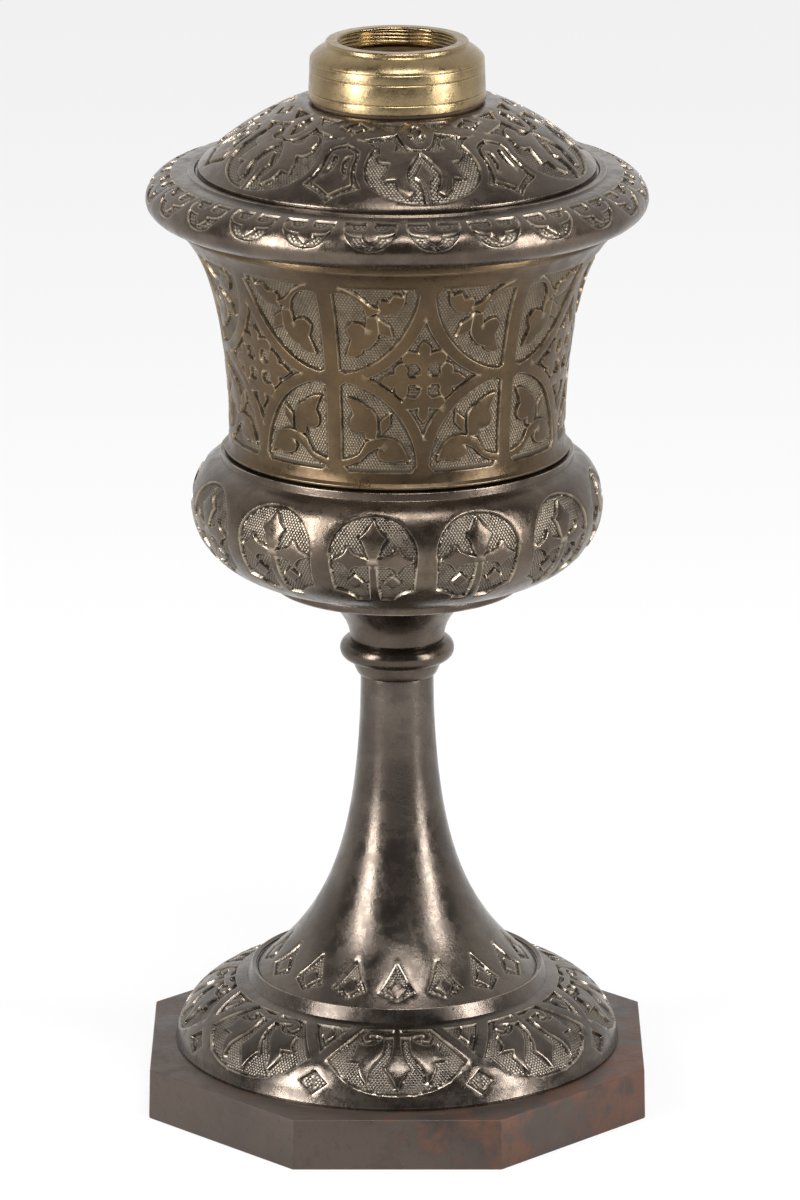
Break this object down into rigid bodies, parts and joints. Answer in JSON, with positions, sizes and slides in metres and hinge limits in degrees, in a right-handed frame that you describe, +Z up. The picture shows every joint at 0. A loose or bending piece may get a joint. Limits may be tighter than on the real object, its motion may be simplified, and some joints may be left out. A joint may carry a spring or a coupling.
{
  "type": "kerosene lamp",
  "caption": "Urn-shaped kerosene table lamp base: octagonal plinth, trumpet stem, carved urn with a lift-out oil font under a domed cover, and a threaded brass burner collar.",
  "frame": {"origin": "centre of the plinth's underside, on the surface that the lamp stands on", "axes": "+Z up along the lamp's axis, through the burner's mouth; +X to the right and -Y to the front, square to faces of the octagonal plinth"},
  "size_m": [0.1344, 0.1344, 0.292],
  "materials": {
    "plinth_iron": "brown patina with rust",
    "foot_bronze": "dark bronze patina, satin",
    "stem_bronze": "dark bronze patina, satin",
    "knop_bronze": "dark bronze patina, polished",
    "neck_bronze": "bronze patina, satin",
    "plate_bronze": "bronze patina, satin",
    "bowl_bronze": "brown bronze patina, satin",
    "drum_bronze": "golden brown bronze patina, satin",
    "screw_brass": "plain brass",
    "rod_iron": "dull iron",
    "rim_bronze": "dark bronze patina, satin",
    "dome_bronze": "dark bronze patina, satin",
    "pin_brass": "bright brass",
    "neck_brass": "plain brass",
    "font_tin": "dull tinned sheet",
    "collar_brass": "aged brass, turned",
    "washer_leather": "dark leather"
  },
  "bodies": {
    "stand": {"plinth": "plinth_iron", "foot": "foot_bronze", "stem": "stem_bronze", "knop": "knop_bronze", "neck": "neck_bronze", "bowl_plate": "plate_bronze", "bowl": "bowl_bronze", "drum": "drum_bronze", "drum_screws": "screw_brass", "tie_rod": "rod_iron", "lower_washer": "rod_iron", "lower_nut": "rod_iron", "upper_washer": "rod_iron", "upper_nut": "rod_iron"},
    "font": {"cover_rim": "rim_bronze", "cover_dome": "dome_bronze", "rim_screws": "screw_brass", "locating_pin": "pin_brass", "font_neck": "neck_brass", "font_shoulder": "font_tin", "font_wall": "font_tin", "font_floor": "font_tin"},
    "washer": {"collar_washer": "washer_leather"},
    "collar": {"collar": "collar_brass"}
  },
  "joints": [
    {"name": "font_lift", "type": "slide", "parent": "stand", "child": "font", "axis": [0, 0, 1], "range_m": [0, 0.09]},
    {"name": "collar_rise", "type": "slide", "parent": "font", "child": "washer", "axis": [0, 0, 1], "range_m": [0, 0.0095]},
    {"name": "collar_turn", "type": "hinge", "parent": "washer", "child": "collar", "pos_m": [0, 0, 0.28], "axis": [0, 0, 1], "range_deg": [0, 3600]}
  ],
  "couplings": [
    {"joint": "collar_rise", "follows": "collar_turn", "m_per_rad": 0.00014961}
  ]
}
